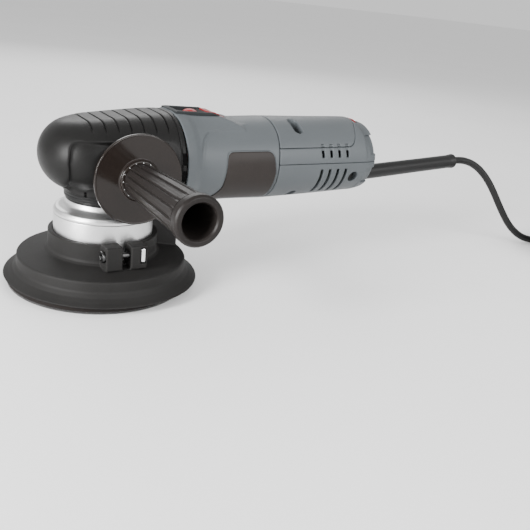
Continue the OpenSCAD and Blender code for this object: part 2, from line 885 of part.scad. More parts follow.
// Plain tube swept along a route
module tube(route, r, n = 10) {
    last = len(route) - 1;
    pts = [for (i = [0 : last]) for (k = [0 : n - 1]) ring_point(route, i, k, n, r)];
    sides = [for (i = [0 : last - 1]) for (k = [0 : n - 1])
        [i * n + k, i * n + (k + 1) % n, (i + 1) * n + (k + 1) % n, (i + 1) * n + k]];
    start = [for (k = [0 : n - 1]) n - 1 - k];
    finish = [for (k = [0 : n - 1]) last * n + k];
    polyhedron(points = pts, faces = concat([start], sides, [finish]), convexity = 6);
}

module cord_lead() {
    color("#1a1a1b") tube(lead_route, cord_d / 2);
}

module cord_coil() {
    color("#1a1a1b") translate([coil_x, coil_y, 0]) rotate_extrude($fn = fine)
        translate([coil_r_in - cord_d / 2, 0]) square([coil_r_out - coil_r_in + cord_d, coil_h]);
}

module cord_tail() {
    color("#1a1a1b") tube(tail_route, cord_d / 2);
}

module plug_body() {
    color("#1f1f20") translate([plug_x, plug_y, plug_z]) {
        rotate([0, -90, 0]) cylinder(h = 16, r1 = 5, r2 = 6.5, $fn = fine);
        box([-44, -11, -7.9], [-15, 11, 7.9]);
    }
}

module plug_blades() {
    color("gainsboro") for (s = [-1, 1]) translate([plug_x, plug_y, plug_z])
        box([-61, s * 6.35 - 0.75, -3.15], [-44, s * 6.35 + 0.75, 3.15]);
}

hook_face();
pad_foam();
pad_plate();
pad_stud();
pad_arbor();
counterweight();
pad_bearing();
spindle();
bevel_gear();
spindle_nut();
lower_spindle_bearing();
upper_spindle_bearing();
hub_ring();
hub_cap();
dust_shroud();
clamp_bolt();
clamp_nut();
gear_housing();
head_cover();
neck_ring();
handle_guard();
handle_grip();
handle_stud();
motor_housing();
label_panels();
rear_lower_housing();
rear_upper_housing();
top_cover();
housing_screws();
switch_bezel();
switch_slider();
switch_grip();
switch_body();
armature_shaft();
armature_core();
armature_windings();
commutator();
cooling_fan();
bevel_pinion();
front_motor_bearing();
rear_motor_bearing();
bearing_bridge();
field_stator();
field_windings();
brush_holders();
carbon_brushes();
speed_module();
speed_dial();
dial_pin();
speed_potentiometer();
strain_relief();
cord_lead();
cord_coil();
cord_tail();
plug_body();
plug_blades();
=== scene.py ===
import math

import bpy
import numpy as np
from mathutils import Matrix, Vector


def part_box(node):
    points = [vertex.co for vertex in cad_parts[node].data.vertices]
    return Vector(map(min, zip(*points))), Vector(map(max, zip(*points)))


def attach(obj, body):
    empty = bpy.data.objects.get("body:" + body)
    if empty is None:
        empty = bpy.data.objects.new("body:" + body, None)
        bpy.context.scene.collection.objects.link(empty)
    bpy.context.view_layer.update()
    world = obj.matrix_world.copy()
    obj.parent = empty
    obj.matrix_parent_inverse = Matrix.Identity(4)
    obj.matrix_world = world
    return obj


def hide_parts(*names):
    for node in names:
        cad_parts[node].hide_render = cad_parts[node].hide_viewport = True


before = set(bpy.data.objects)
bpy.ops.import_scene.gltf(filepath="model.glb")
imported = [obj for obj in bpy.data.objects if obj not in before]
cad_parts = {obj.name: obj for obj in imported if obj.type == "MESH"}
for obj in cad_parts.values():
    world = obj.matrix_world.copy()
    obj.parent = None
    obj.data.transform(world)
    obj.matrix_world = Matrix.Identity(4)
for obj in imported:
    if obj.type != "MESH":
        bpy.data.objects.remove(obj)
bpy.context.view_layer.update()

# Shapes are worked out in millimetres, in the frame of the CAD model, and stored in metres.
MM = 0.001


def node_box(name):
    """Lowest and highest corner of a CAD node, in millimetres."""
    low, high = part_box(name)
    return np.array(low) / MM, np.array(high) / MM


motor_low, motor_high = node_box("field_stator")
head_low, head_high = node_box("head_cover")
front_low, front_high = node_box("motor_housing")
rear_low, rear_high = node_box("rear_lower_housing")
grip_low, grip_high = node_box("handle_grip")
guard_low, guard_high = node_box("handle_guard")
AXIS_Z = (motor_low[2] + motor_high[2]) / 2
FRONT_X, SEAM_X, TAIL_X = front_low[0], rear_low[0], rear_high[0]
HANDLE_X = (grip_low[0] + grip_high[0]) / 2
HANDLE_Z = (grip_low[2] + grip_high[2]) / 2
HOUSING_WALL = 2.8


# ---------- camera and cord ----------

CAMERA_AT = (-206.1, -562.3, 249.8)
CAMERA_ANGLES = (33.9, 20.7, 6.7)
LENS, SENSOR_W = 48.4, 36


def add_camera():
    """Camera at the place and the angle that the reference view was taken from."""
    azimuth, tilt, roll = (math.radians(angle) for angle in CAMERA_ANGLES)
    forward = Vector((math.sin(azimuth) * math.cos(tilt), math.cos(azimuth) * math.cos(tilt),
                      -math.sin(tilt)))
    right = Vector((math.cos(azimuth), -math.sin(azimuth), 0))
    up = right.cross(forward)
    side = right * math.cos(roll) + up * math.sin(roll)
    top = up * math.cos(roll) - right * math.sin(roll)
    data = bpy.data.cameras.new("camera")
    data.sensor_width = SENSOR_W
    data.lens = LENS
    data.clip_start = 0.01
    camera = bpy.data.objects.new("camera", data)
    camera.matrix_world = Matrix((side, top, -forward)).transposed().to_4x4()
    camera.matrix_world.translation = Vector(CAMERA_AT) * MM
    bpy.context.scene.collection.objects.link(camera)
    bpy.context.scene.camera = camera


CORD_D = 8
LEAD_ROUTE = [(409.6, 0, 96.2), (422, 0, 96.6), (434, -1, 95), (446, -3, 90.5), (457, -6, 83),
              (467, -10, 72.5), (476, -14, 60), (484, -18, 47), (492, -22, 34.5), (500, -26, 23.5),
              (509, -30, 14.5), (519, -34.5, 8), (530, -39, 4.8), (542, -44.5, 4), (554, -50, 4),
              (566, -55.5, 4)]
TAIL_ROUTE = [(592, -69, 30), (603, -80, 32.5), (609.5, -93, 35), (611.5, -107, 36.3),
              (609, -119.5, 37), (602, -130, 37.8), (591.5, -137.5, 38.8), (579, -140, 39.6),
              (576, -140, 40)]


def coil_points():
    """Centre line of the coil: four flat layers that wind in and out by turns, clockwise."""
    low, high = node_box("cord_coil")
    centre = (low + high) / 2
    outer = (high[0] - low[0]) / 2 - CORD_D / 2
    turns, per_turn, layers, ramp = 2.5, 24, 4, 5
    count = int(turns * per_turn)
    start = math.radians(66)
    points = []
    for layer in range(layers):
        for i in range(count + (layer == layers - 1)):
            wound = i / per_turn
            reach = wound if layer % 2 == 0 else turns - wound
            angle = start - 2 * math.pi * (layer * turns + wound)
            climb = min(1, max(0, (i - count + ramp) / ramp)) if layer < layers - 1 else 0
            points.append((centre[0] + (outer - CORD_D * reach) * math.cos(angle),
                           centre[1] + (outer - CORD_D * reach) * math.sin(angle),
                           CORD_D * (layer + 0.5 + 0.5 * climb * climb)))
    return points


def add_cord(cover):
    """Mains cord: one smooth tube along the lead, the coil and the tail to the plug."""
    points = LEAD_ROUTE + coil_points() + TAIL_ROUTE
    curve = bpy.data.curves.new("mains_cord", "CURVE")
    curve.dimensions = "3D"
    curve.bevel_depth = CORD_D / 2 * MM
    curve.bevel_resolution = 5
    curve.resolution_u = 5
    curve.use_fill_caps = True
    spline = curve.splines.new("BEZIER")
    spline.bezier_points.add(len(points) - 1)
    for point, place in zip(spline.bezier_points, points):
        point.co = Vector(place) * MM
        point.handle_left_type = point.handle_right_type = "AUTO"
    curve.materials.append(cover)
    cord = bpy.data.objects.new("mains_cord", curve)
    bpy.context.scene.collection.objects.link(cord)
    return cord


# ---------- materials ----------

def node(tree, kind, place, **inputs):
    """Shader node with its inputs set; an underscore in a name stands for a space."""
    made = tree.nodes.new(kind)
    made.location = place
    for name, value in inputs.items():
        made.inputs[name.replace("_", " ")].default_value = value
    return made


def finish(name, light, dark, rough, grain=1500, bump=0.15, blotch=18, spread=0.06,
           stretch=(1, 1, 1), depth=0.0002, **sockets):
    """Two close colours mottled over the surface, with fine grain in roughness and bump."""
    made = bpy.data.materials.new(name)
    made.use_nodes = True
    tree = made.node_tree
    shader = tree.nodes["Principled BSDF"]
    for key, value in sockets.items():
        shader.inputs[key.replace("_", " ")].default_value = value
    coords = tree.nodes.new("ShaderNodeTexCoord")
    mapping = node(tree, "ShaderNodeMapping", (-1100, 0), Scale=stretch)
    tree.links.new(coords.outputs["Object"], mapping.inputs["Vector"])
    fine = node(tree, "ShaderNodeTexNoise", (-900, -200), Scale=grain, Detail=3.0, Roughness=0.6)
    broad = node(tree, "ShaderNodeTexNoise", (-900, 200), Scale=blotch, Detail=4.0, Roughness=0.55)
    for noise in (fine, broad):
        tree.links.new(mapping.outputs["Vector"], noise.inputs["Vector"])
    both = node(tree, "ShaderNodeMath", (-650, 100))
    both.operation = "ADD"
    tree.links.new(fine.outputs["Fac"], both.inputs[0])
    tree.links.new(broad.outputs["Fac"], both.inputs[1])
    ramp = node(tree, "ShaderNodeMapRange", (-480, 100), From_Min=0.75, From_Max=1.25)
    tree.links.new(both.outputs["Value"], ramp.inputs["Value"])
    colour = node(tree, "ShaderNodeMix", (-300, 100))
    colour.data_type = "RGBA"
    colour.inputs["A"].default_value = (*dark, 1)
    colour.inputs["B"].default_value = (*light, 1)
    tree.links.new(ramp.outputs["Result"], colour.inputs["Factor"])
    tree.links.new(colour.outputs["Result"], shader.inputs["Base Color"])
    gloss = node(tree, "ShaderNodeMapRange", (-480, -150), From_Min=0.7, From_Max=1.3,
                 To_Min=rough - spread, To_Max=rough + spread)
    tree.links.new(both.outputs["Value"], gloss.inputs["Value"])
    tree.links.new(gloss.outputs["Result"], shader.inputs["Roughness"])
    relief = node(tree, "ShaderNodeBump", (-300, -300), Strength=bump, Distance=depth)
    tree.links.new(fine.outputs["Fac"], relief.inputs["Height"])
    tree.links.new(relief.outputs["Normal"], shader.inputs["Normal"])
    return made


def grey(level, warm=0.0):
    return (level * (1 + warm), level, level * (1 - warm))


FINISH = {
    "head": finish("head_cover_plastic", grey(0.008, 0.03), grey(0.0055, 0.03), 0.38, grain=1300,
                   bump=0.35, Specular_IOR_Level=0.12),
    "grey": finish("grey_plastic", (0.072, 0.080, 0.085), (0.062, 0.069, 0.074), 0.45, grain=1600,
                   bump=0.22, Specular_IOR_Level=0.22),
    "panel": finish("panel_plastic", (0.022, 0.018, 0.016), (0.016, 0.013, 0.012), 0.42, grain=900,
                    bump=0.1, Specular_IOR_Level=0.15),
    "gloss": finish("gloss_black_plastic", (0.012, 0.009, 0.0075), (0.009, 0.0065, 0.0055), 0.12,
                    grain=700, bump=0.03, blotch=40, spread=0.03, Specular_IOR_Level=0.24),
    "grip": finish("grip_plastic", (0.013, 0.011, 0.010), (0.009, 0.0075, 0.007), 0.42, grain=1300,
                   bump=0.2, Specular_IOR_Level=0.14),
    "trim": finish("trim_plastic", (0.019, 0.021, 0.022), (0.015, 0.017, 0.018), 0.6, grain=1300,
                   bump=0.15, Specular_IOR_Level=0.1),
    # Dark steel of the clamp bolt: partly the bolt's own dark finish, partly painted shade so that the
    # shank in the gap between the clamp ears looks dark.
    "dark_steel_and_shade": finish("dark_steel_and_shade", grey(0.10), grey(0.05), 0.35, grain=900, bump=0.15,
                         Metallic=1.0),
    "black": finish("black_plastic", grey(0.008), grey(0.005), 0.45, grain=1400, bump=0.2,
                    Specular_IOR_Level=0.15),
    # Near-black matt finish used only for the ring behind the head's vent slots: painted shade, not the
    # colour of a real part.
    "painted_shade": finish("vent_painted_shade", grey(0.003), grey(0.002), 0.8, grain=1400, bump=0.2,
                   Specular_IOR_Level=0.05),
    "red": finish("red_plastic", (0.22, 0.0025, 0.005), (0.18, 0.002, 0.004), 0.3, grain=1200,
                  bump=0.08, Specular_IOR_Level=0.1),
    "rubber": finish("shroud_rubber", grey(0.015, 0.03), grey(0.011, 0.04), 0.6, grain=1100,
                     bump=0.4, blotch=30, Specular_IOR_Level=0.12),
    "cast": finish("cast_aluminium", grey(0.50), grey(0.36), 0.5, grain=900, bump=0.5, Metallic=1.0),
    "hub": finish("housing_aluminium", grey(0.74), grey(0.60), 0.36, grain=2200, bump=0.5,
                  Metallic=1.0),
    "steel": finish("steel", grey(0.40), grey(0.28), 0.32, grain=600, bump=0.15, stretch=(1, 1, 12),
                    Metallic=1.0),
    "bright": finish("bright_steel", grey(0.86), grey(0.72), 0.22, grain=800, bump=0.1, Metallic=1.0),
    "copper": finish("copper", (0.75, 0.32, 0.16), (0.55, 0.20, 0.09), 0.35, grain=1800, bump=0.6,
                     stretch=(1, 6, 6), Metallic=1.0),
    "brass": finish("brass", (0.74, 0.55, 0.26), (0.60, 0.42, 0.17), 0.33, grain=900, bump=0.15,
                    Metallic=1.0),
    "carbon": finish("carbon", grey(0.05), grey(0.02), 0.6, grain=900, bump=0.3),
    "board": finish("board", (0.006, 0.016, 0.009), (0.004, 0.010, 0.006), 0.45, grain=300, bump=0.3),
    "foam": finish("foam", (0.009, 0.006, 0.005), (0.005, 0.0035, 0.003), 0.8, grain=1500, bump=0.9,
                   depth=0.0005, Specular_IOR_Level=0.2),
    "hook": finish("hook_sheet", grey(0.008, 0.05), grey(0.004), 0.85, grain=2600, bump=1.0,
                   depth=0.0008, Sheen_Weight=0.3),
    "lead": finish("lead_rubber", grey(0.008), grey(0.005), 0.42, grain=900, bump=0.12,
                   Specular_IOR_Level=0.25),
}


# ---------- meshes ----------

CREASE_ANGLE = math.radians(40)


def piece(name, points, faces, kind, body, nodes, normals=None):
    """Finished mesh from points in millimetres, riding on its body and standing for its CAD nodes."""
    mesh = bpy.data.meshes.new(name)
    mesh.from_pydata((np.asarray(points) * MM).tolist(), [], [list(f) for f in faces])
    mesh.validate()
    mesh.materials.append(FINISH[kind])
    mesh.polygons.foreach_set("use_smooth", [True] * len(mesh.polygons))
    if normals is not None:
        mesh.normals_split_custom_set_from_vertices(normals.tolist())
    made = bpy.data.objects.new(name, mesh)
    bpy.context.scene.collection.objects.link(made)
    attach(made, body)
    if nodes:
        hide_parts(*nodes)
    return made


def rounded(corners, steps=4):
    """Closed outline whose corners (a, b, radius) are turned into arcs."""
    outline = []
    for i, (a, b, radius) in enumerate(corners):
        here = np.array((a, b), float)
        to_last = np.array(corners[i - 1][:2], float) - here
        to_next = np.array(corners[(i + 1) % len(corners)][:2], float) - here
        if radius <= 0:
            outline.append(here)
            continue
        last_len, next_len = np.linalg.norm(to_last), np.linalg.norm(to_next)
        u, v = to_last / last_len, to_next / next_len
        half = 0.5 * math.acos(max(-0.9999, min(0.9999, float(u @ v))))
        cut = min(radius / math.tan(half), 0.48 * last_len, 0.48 * next_len)
        reach = cut * math.tan(half)
        centre = here + (u + v) / np.linalg.norm(u + v) * reach / math.sin(half)
        first, last = here + u * cut - centre, here + v * cut - centre
        begin, end = math.atan2(first[1], first[0]), math.atan2(last[1], last[0])
        sweep = (end - begin + math.pi) % (2 * math.pi) - math.pi
        for k in range(steps + 1):
            angle = begin + sweep * k / steps
            outline.append(centre + reach * np.array((math.cos(angle), math.sin(angle))))
    return outline


def revolve(name, outline, kind, body, nodes, origin=(0, 0, 0), axis=(0, 0, 1), segments=144, shape=None):
    """Closed piece turned about an axis from an outline of (radius, height), by a right-hand screw."""
    axis = Vector(axis).normalized()
    turn = Vector((0, 0, 1)).rotation_difference(axis).to_matrix()
    angles = [2 * math.pi * k / segments for k in range(segments)]
    points, rings = [], []
    for radius, height in outline:
        if radius < 1e-6:
            rings.append([len(points)] * segments)
            points.append(turn @ Vector((0, 0, height)))
            continue
        rings.append(range(len(points), len(points) + segments))
        for angle in angles:
            r = shape(angle, radius, height) if shape else radius
            points.append(turn @ Vector((r * math.cos(angle), r * math.sin(angle), height)))
    faces = []
    for ring, after in zip(rings, rings[1:] + rings[:1]):
        for k in range(segments):
            j = (k + 1) % segments
            face = list(dict.fromkeys((ring[k], ring[j], after[j], after[k])))
            if len(face) > 2:
                faces.append(face)
    points = [p + Vector(origin) for p in points]
    made = piece(name, points, faces, kind, body, nodes)
    made.data.set_sharp_from_angle(angle=CREASE_ANGLE)
    return made


def slope(field, points, width):
    """Gradient of a field at points, by differences over a width."""
    found = np.empty_like(points)
    for axis in range(3):
        step = np.zeros(3)
        step[axis] = width / 2
        found[:, axis] = (field(*(points + step).T) - field(*(points - step).T)) / width
    return found


def settle(field, points, step):
    """Moves points onto the field's zero level, each by less than the grid step."""
    start = points.copy()
    for _ in range(3):
        value = field(*points.T)
        grade = slope(field, points, 0.1 * step)
        move = -value[:, None] * grade / np.maximum((grade ** 2).sum(1), 0.05)[:, None]
        points = start + np.clip(points + move - start, -0.6 * step, 0.6 * step)
    return points


def carve(name, field, low, high, step, kind, body, nodes):
    """Closed piece where field(x, y, z) is below zero, in a box, as quads on a grid of that step."""
    axes = [np.arange(a - 1.5 * step, b + 2.5 * step, step) for a, b in zip(low, high)]
    origin = np.array([a[0] for a in axes])
    grid = np.meshgrid(*axes, indexing="ij", sparse=True)
    values = np.broadcast_to(field(*grid), [len(a) for a in axes])
    inside = values < 0
    counts = np.zeros(np.array(inside.shape) - 1, np.int8)
    n = counts.shape
    for i, j, k in np.ndindex(2, 2, 2):
        counts += inside[i:n[0] + i, j:n[1] + j, k:n[2] + k]
    active = (counts > 0) & (counts < 8)
    cells = np.argwhere(active)
    index = np.full(n, -1)
    index[active] = np.arange(len(cells))
    total, hits = np.zeros((len(cells), 3)), np.zeros(len(cells))
    unit = np.eye(3, dtype=int)
    for axis in range(3):
        others = [a for a in range(3) if a != axis]
        for u, v in np.ndindex(2, 2):
            offset = u * unit[others[0]] + v * unit[others[1]]
            first = values[tuple((cells + offset).T)]
            second = values[tuple((cells + offset + unit[axis]).T)]
            cross = (first < 0) != (second < 0)
            share = np.where(cross, first / np.where(cross, first - second, 1), 0)
            total += cross[:, None] * (offset + share[:, None] * unit[axis])
            hits += cross
    points = origin + (cells + total / hits[:, None]) * step
    points = settle(field, points, step)
    quads = []
    for axis in range(3):
        u, v = unit[(axis + 1) % 3], unit[(axis + 2) % 3]
        near = tuple(slice(0, -1) if a == axis else slice(1, -1) for a in range(3))
        far = tuple(slice(1, None) if a == axis else slice(1, -1) for a in range(3))
        change = np.argwhere(inside[near] != inside[far]) + u + v
        ring = [index[tuple((change - a * u - b * v).T)] for a, b in ((0, 0), (1, 0), (1, 1), (0, 1))]
        faces = np.stack(ring, 1)
        outward = inside[tuple(change.T)]
        quads.append(np.where(outward[:, None], faces, faces[:, ::-1]))
    normals = slope(field, points, 0.7 * step)
    normals /= np.maximum(np.linalg.norm(normals, axis=1), 1e-9)[:, None]
    return piece(name, points, np.concatenate(quads).tolist(), kind, body, nodes, normals)


# ---------- fields: distance to a surface, negative inside ----------

def along(x, stations, values):
    """Smooth curve through a value at each station, level beyond both ends."""
    xs, ys = np.array(stations, float), np.array(values, float)
    run = np.diff(xs)
    rise = np.diff(ys) / run
    product = rise[1:] * rise[:-1]
    both = np.where(product > 0, rise[1:] + rise[:-1], 1)
    tangent = np.concatenate([[rise[0]], np.where(product > 0, 2 * product / both, 0), [rise[-1]]])
    x = np.clip(x, xs[0], xs[-1])
    i = np.clip(np.searchsorted(xs, x, side="right") - 1, 0, len(run) - 1)
    t = (x - xs[i]) / run[i]
    return ((1 + 2 * t) * (1 - t) ** 2 * ys[i] + t * (1 - t) ** 2 * run[i] * tangent[i]
            + t * t * (3 - 2 * t) * ys[i + 1] + t * t * (t - 1) * run[i] * tangent[i + 1])


def ease(t):
    """Smooth rise from 0 to 1."""
    t = np.clip(t, 0, 1)
    return t * t * (3 - 2 * t)


def both_of(a, b, blend=0.8):
    """Where both fields are below zero, with the edge between them rounded."""
    mix = np.maximum(blend - np.abs(a - b), 0) / blend
    return np.maximum(a, b) + mix * mix * blend / 4


def either(a, b, blend=0.8):
    """Where at least one field is below zero, with a fillet between them."""
    return -both_of(-a, -b, blend)


def without(a, b, blend=0.8):
    """Where a is below zero and b is not, with the edge rounded."""
    return both_of(a, -b, blend)


def oval(y, z, half_w, half_h):
    """Distance, near enough, to an ellipse."""
    reach = np.sqrt((y / half_w) ** 2 + (z / half_h) ** 2)
    grade = np.sqrt((y / half_w ** 2) ** 2 + (z / half_h ** 2) ** 2)
    return reach * (reach - 1) / np.maximum(grade, 1e-6)


def block(x, y, z, low, high, radius=0.8):
    """Box with rounded edges."""
    parts = [np.abs(v - (a + b) / 2) - (b - a) / 2 + radius for v, a, b in zip((x, y, z), low, high)]
    outside = sum(np.maximum(p, 0) ** 2 for p in parts)
    return np.sqrt(outside) + np.minimum(np.maximum(np.maximum(parts[0], parts[1]), parts[2]), 0) - radius


def rod(a, b, h, radius, low, high, blend=0.8):
    """Round rod about the h axis, from low to high; a and b are measured from its middle."""
    return both_of(np.sqrt(a * a + b * b) - radius, np.maximum(low - h, h - high), blend)


def outline_gap(a, b, corners):
    """Distance in the plane to a closed outline."""
    best, sign = np.inf, 1
    for (ax, ay), (bx, by) in zip(corners, corners[-1:] + corners[:-1]):
        ex, ey, wx, wy = bx - ax, by - ay, a - ax, b - ay
        t = np.clip((wx * ex + wy * ey) / (ex * ex + ey * ey), 0, 1)
        best = np.minimum(best, (wx - ex * t) ** 2 + (wy - ey * t) ** 2)
        above, below, left = b >= ay, b < by, ex * wy > ey * wx
        sign = np.where((above & below & left) | (~above & ~below & ~left), -sign, sign)
    return sign * np.sqrt(best)


# ---------- gear head ----------

HEAD_STATIONS = (-26, -10, 12, 34, 46, FRONT_X)
HEAD_HALF_W = (43.5, 43.4, 44.2, 45.2, 46.1, 46.7)
HEAD_LOW = (83.5, 82.8, 81.6, 79.5, 72.6, 64.6)
HEAD_HIGH = (141.4, 143.3, 145.7, 147.8, 148.7, 149)
NOSE_TURN_X = -11.5
HEAD_WALL = 4.4
NECK_R, NECK_BORE_R, NECK_Z = 34.2, 31, 82
BOSS_R, BOSS_BORE_R, BOSS_OUT = 17, 12.3, 43.6
RECESS_DEPTH = 2.3
GROOVES = 7


def head_form(x, y, z, inset=0.0):
    """Elbow: a flattened tube behind the spindle and the round nose in front of it."""
    low, high = along(x, HEAD_STATIONS, HEAD_LOW), along(x, HEAD_STATIONS, HEAD_HIGH)
    half_h = (high - low) / 2
    core = along(x, HEAD_STATIONS, HEAD_HALF_W) - half_h
    spread = np.sqrt(y * y + np.minimum(x - NOSE_TURN_X, 0) ** 2)
    return np.sqrt(np.maximum(spread - core, 0) ** 2 + (z - (high + low) / 2) ** 2) - half_h + inset


def groove_cut(x, y, z, form):
    """Seven shallow grooves over the top, each running out on the shoulder."""
    first, pitch, half_w = -24.1, 10.2, 0.55
    depth = 1.2 * ease((z - 134.3) / 4)
    along_x = x - first - lean(z)
    nearest = np.clip(np.round(along_x / pitch), 0, GROOVES - 1)
    return both_of(np.abs(along_x - pitch * nearest) - half_w, -form - depth, 0.5)


def side_recess(x, y, z, form):
    """Sunken flank round the handle boss, on both sides; it fades out behind the boss."""
    plan = both_of(both_of(-40 - x + 0.12 * np.abs(z - 112), x - 44, 2), z - 128.6, 9)
    depth = RECESS_DEPTH * ease((42 - x) / 16)
    return both_of(np.maximum(plan, 12 - np.abs(y)), -form - depth, 2.4)


def handle_rod(x, y, z, radius, low, high, blend=0.8):
    """Round rod along the side handle's axis, on both sides."""
    return rod(x - HANDLE_X, z - HANDLE_Z, np.abs(y), radius, low, high, blend)


def head_cover(x, y, z):
    """Moulded cover of the gear head: hollow, open at the neck and at the motor, with vent slots."""
    outer = head_form(x, y, z)
    form = outer
    across = np.sqrt(x * x + y * y)
    form = without(form, side_recess(x, y, z, outer), 2.6)
    neck = both_of(across - NECK_R, np.maximum(NECK_Z - 2 - z, z - 96), 1)
    form = either(form, neck, 3.5)
    form = either(form, handle_rod(x, y, z, BOSS_R, 30, BOSS_OUT, 1.5), 2.5)
    form = without(form, groove_cut(x, y, z, outer), 0.6)
    form = both_of(form, x - (FRONT_X - 0.7), 1.6)
    bead = np.maximum(np.abs(x - 48.6) - 0.45, -outer - 0.7)
    form = without(form, bead, 0.8)
    form = without(form, head_form(x, y, z, HEAD_WALL), 1)
    form = without(form, both_of(across - 34.5, z - NECK_Z, 0.8), 0.8)
    form = without(form, rod(x, y, z, NECK_BORE_R, 60, 96), 0.8)
    form = without(form, handle_rod(x, y, z, BOSS_BORE_R, 20, 60), 0.8)
    for height in (-18, -4, 10):
        slot = block(x, np.abs(y), z - AXIS_Z, (49.6, 37, height - 4.5), (60, 60, height + 4.5))
        form = without(form, slot, 0.8)
    return form


def build_head():
    carve("head_cover_shell", head_cover, head_low - 1, head_high + 1, 0.88, "head", "housing",
          ["head_cover"])

    def shade_ring(x, y, z):
        """Near-black ring behind the vent slots at the joint with the motor housing: painted shade that
        makes the slots look deep and dark.
        """
        form = head_form(x, y, z)
        skin = both_of(form + 1.6, -form - 2.8, 0.4)
        window = block(x, np.abs(y), z - AXIS_Z, (49.2, 30, -23.5), (FRONT_X - 0.2, 60, 15.5), 0.4)
        return both_of(skin, window, 0.4)

    # Ring of painted shade behind the vent slots, standing for the darkness seen through them; it stands
    # for no CAD part.
    low, high = (48, -46, AXIS_Z - 25), (57, 46, AXIS_Z + 17)
    carve("vent_painted_shade_ring", shade_ring, low, high, 0.6, "painted_shade", "housing", [])
    ring = [(31.1, 74.4, 0), (31.9, 74, 0.4), (32.6, 76.6, 0.5), (33.2, 76.9, 0.4), (33.4, 79, 0.4),
            (33.0, 79.3, 0.3), (33.9, 81.9, 0.3), (31.1, 82, 0)]
    revolve("neck_seal_ring", rounded(ring), "black", "housing", ["neck_ring"])


# ---------- hub, shroud and pad ----------

def build_hub():
    outer, _, top = node_box("hub_ring")[1]
    ring = [(38.6, 30, 0.4), (outer - 0.2, 30, 0.8), (outer, top - 0.1, 0.5), (38.6, top, 0)]
    revolve("hub_ring_casting", rounded(ring), "hub", "housing", ["hub_ring"])
    cap = [(24, 66, 0), (24, 74, 0.5), (31.5, 74, 0.3), (32.3, 70.2, 3.5), (37.5, 67.4, 4),
           (40.4, 67.0, 1.6), (outer, 64.2, 2.4), (outer, top + 0.1, 0.5), (38.6, top, 0),
           (38.6, 63.4, 1), (34, 65, 1)]
    revolve("hub_cap_casting", rounded(cap, 6), "hub", "housing", ["hub_cap"])


nut_low, nut_high = node_box("clamp_nut")
BOLT_Y, BOLT_Z = -51.5, (nut_low[2] + nut_high[2]) / 2
EAR_IN, EAR_OUT = 3.5, 17.5
COLLAR_R, COLLAR_BORE_R, COLLAR_TOP = 46, 42.6, 46.7
PORT_Y, PORT_Z, PORT_R, PORT_BORE_R, PORT_END = 12, 46, 15, 12.6, 100


def shroud(x, y, z):
    """Stepped bell with its split collar, clamp ears, duct and port."""
    across = np.sqrt(x * x + y * y)
    bell = outline_gap(across, z, [
        (80.6, 7.3), (82.2, 7.5), (82.3, 8.3), (78.5, 10.2), (74.8, 12.6), (72.2, 15.6), (71.6, 17),
        (71.4, 24.2), (70.6, 25.2), (60, 27.2), (48.6, 29.7), (46.6, 31.2), (COLLAR_R, 33),
        (COLLAR_R, COLLAR_TOP), (42.1, COLLAR_TOP), (42.1, 27.2), (69, 22.6), (69.2, 15.6), (72.6, 11.6),
        (76.6, 9)]) - 0.15
    duct = block(x, y, z, (40, -4, 24), (69, 28, 62), 2.2)
    port = rod(y - PORT_Y, z - PORT_Z, x, PORT_R, 66, PORT_END, 1.5)
    rim = rod(y - PORT_Y, z - PORT_Z, x, PORT_R + 0.4, PORT_END - 4, PORT_END, 1)
    duct = either(either(duct, port, 2.5), rim, 1)
    duct = without(duct, rod(x, y, z, COLLAR_BORE_R, 0, 90), 0.8)
    duct = np.maximum(duct, 25.5 - z)
    ears = block(x, y, z, (-EAR_OUT, -57, 29), (EAR_OUT, -43, 49), 1.2)
    ears = without(ears, rod(x, y, z, COLLAR_BORE_R, 0, 90), 0.8)
    form = either(either(bell, duct, 1.6), ears, 1.2)
    form = without(form, block(x, y, z, (-EAR_IN, -70, 31.5), (EAR_IN, -38, 70), 0.5), 0.8)
    form = without(form, block(x, y, z, (-EAR_IN, -70, 29.6), (EAR_IN, -46.6, 60), 0.5), 0.5)
    form = without(form, block(x, y, z, nut_low - (0.7, 9, 0.8), nut_high + (0.7, 0.3, 0.8), 0.4), 0.5)
    form = without(form, rod(y - BOLT_Y, z - BOLT_Z, x, 2.7, -30, 16), 0.5)
    airway = block(x, y, z, (34, -1.8, 28.4), (66.8, 25.8, 59.8), 2)
    airway = either(airway, rod(y - PORT_Y, z - PORT_Z, x, PORT_BORE_R, 60, PORT_END + 10), 1)
    airway = without(airway, rod(x, y, z, 44.5, 0, 90), 0.5)
    return without(form, airway, 0.8)


def build_shroud():
    """Shroud with its clamp bolt, which has a hexagon socket, and the square nut."""
    low, high = node_box("dust_shroud")
    carve("dust_shroud_moulding", shroud, low - 1, high + 1, 0.95, "rubber", "housing", ["dust_shroud"])

    low, high = node_box("clamp_bolt")

    def bolt(x, y, z):
        a, b = y - BOLT_Y, z - BOLT_Z
        head = rod(a, b, x, 4.8, low[0], -EAR_OUT, 1)
        sin_60 = 0.866
        slanted = np.maximum(np.abs(0.5 * b + sin_60 * a), np.abs(0.5 * b - sin_60 * a))
        hexagon = np.maximum(np.abs(b), slanted)
        head = without(head, np.maximum(hexagon - 2.6, x + EAR_OUT + 0.6), 0.4)
        return either(head, rod(a, b, x, 2.5, -EAR_OUT - 1, high[0], 0.6), 0.5)

    # The bolt's dark steel is partly its own finish and partly painted shade for the shank in the gap
    # between the ears.
    carve("clamp_bolt_turned", bolt, low, high, 0.3, "dark_steel_and_shade", "housing", ["clamp_bolt"])

    def nut(x, y, z):
        body = block(x, y, z, nut_low, nut_high, 0.9)
        return without(body, rod(y - BOLT_Y, z - BOLT_Z, x, 2.55, 0, 40), 0.4)

    carve("clamp_nut_square", nut, nut_low, nut_high, 0.45, "bright", "housing", ["clamp_nut"])


